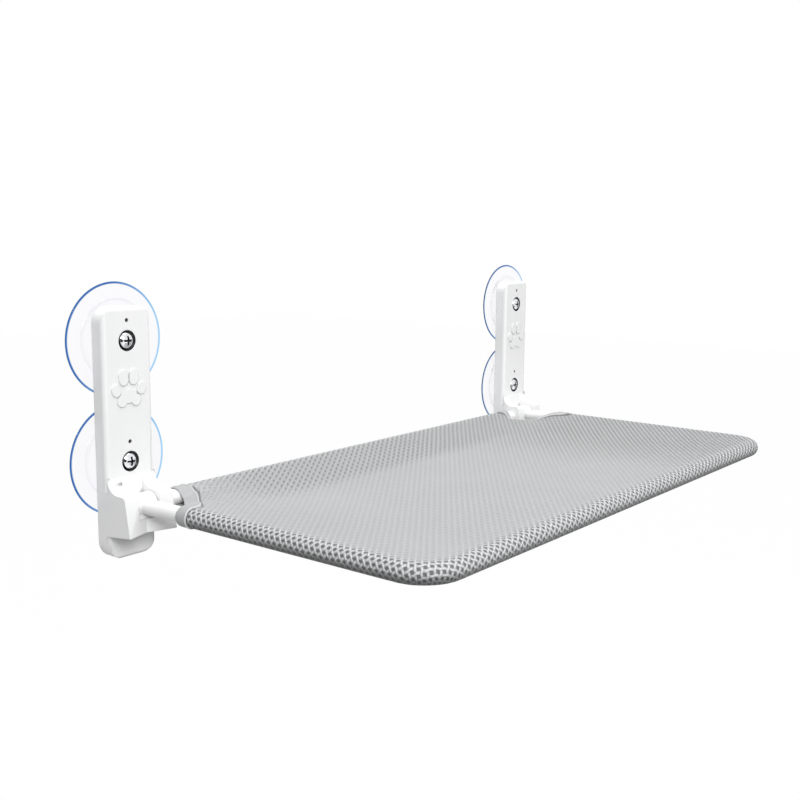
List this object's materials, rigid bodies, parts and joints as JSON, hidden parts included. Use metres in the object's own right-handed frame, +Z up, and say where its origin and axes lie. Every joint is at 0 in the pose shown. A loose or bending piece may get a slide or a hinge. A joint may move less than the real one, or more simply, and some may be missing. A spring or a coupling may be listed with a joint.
{
  "type": "window mounted cat perch",
  "caption": "Fold-up cat perch for a window: mesh fabric stretched over a white tube frame, hinged in moulded brackets that suction cups hold on the glass.",
  "frame": {"origin": "on the glass plane, midway between the four suction cups", "axes": "+X along the window, +Y into the glass, +Z up; the platform reaches into the room along -Y"},
  "size_m": [0.649, 0.3186, 0.217],
  "materials": {
    "moulded_plastic": "satin moulded white",
    "clear_pvc": "clear, faint lavender tint, smooth",
    "insert_brass": "knurled",
    "screw_chrome": "bright plated",
    "white_powder_coat": "semi-gloss powder coat",
    "nylon": "moulded nylon",
    "zinc_steel": "zinc plated",
    "mesh_fabric": "knitted air mesh",
    "backing_fabric": "plain weave",
    "binding_tape": "woven tape",
    "loop_tape": "napped loops",
    "hook_tape": "stiff hooks"
  },
  "bodies": {
    "wall_brackets": {"left_bracket": "moulded_plastic", "right_bracket": "moulded_plastic", "left_upper_suction_cup": "clear_pvc", "left_lower_suction_cup": "clear_pvc", "right_upper_suction_cup": "clear_pvc", "right_lower_suction_cup": "clear_pvc", "left_cup_inserts": "insert_brass", "right_cup_inserts": "insert_brass", "left_upper_cup_screw": "screw_chrome", "left_lower_cup_screw": "screw_chrome", "right_upper_cup_screw": "screw_chrome", "right_lower_cup_screw": "screw_chrome"},
    "folding_frame": {"left_hinge_knuckle": "nylon", "right_hinge_knuckle": "nylon", "knuckle_set_screws": "zinc_steel", "rear_crossbar": "white_powder_coat", "left_side_tube": "white_powder_coat", "right_side_tube": "white_powder_coat", "front_tube": "white_powder_coat", "left_tube_joiner": "nylon", "right_tube_joiner": "nylon", "tube_screws": "zinc_steel", "hammock_cover": "mesh_fabric", "underside_panel": "backing_fabric", "left_corner_binding": "binding_tape", "right_corner_binding": "binding_tape", "rear_loop_strip": "loop_tape", "rear_hook_strip": "hook_tape"}
  },
  "joints": [
    {"name": "frame_fold", "type": "hinge", "parent": "wall_brackets", "child": "folding_frame", "pos_m": [0, -0.027, -0.0809], "axis": [-1, 0, 0], "range_deg": [0, 90]}
  ]
}
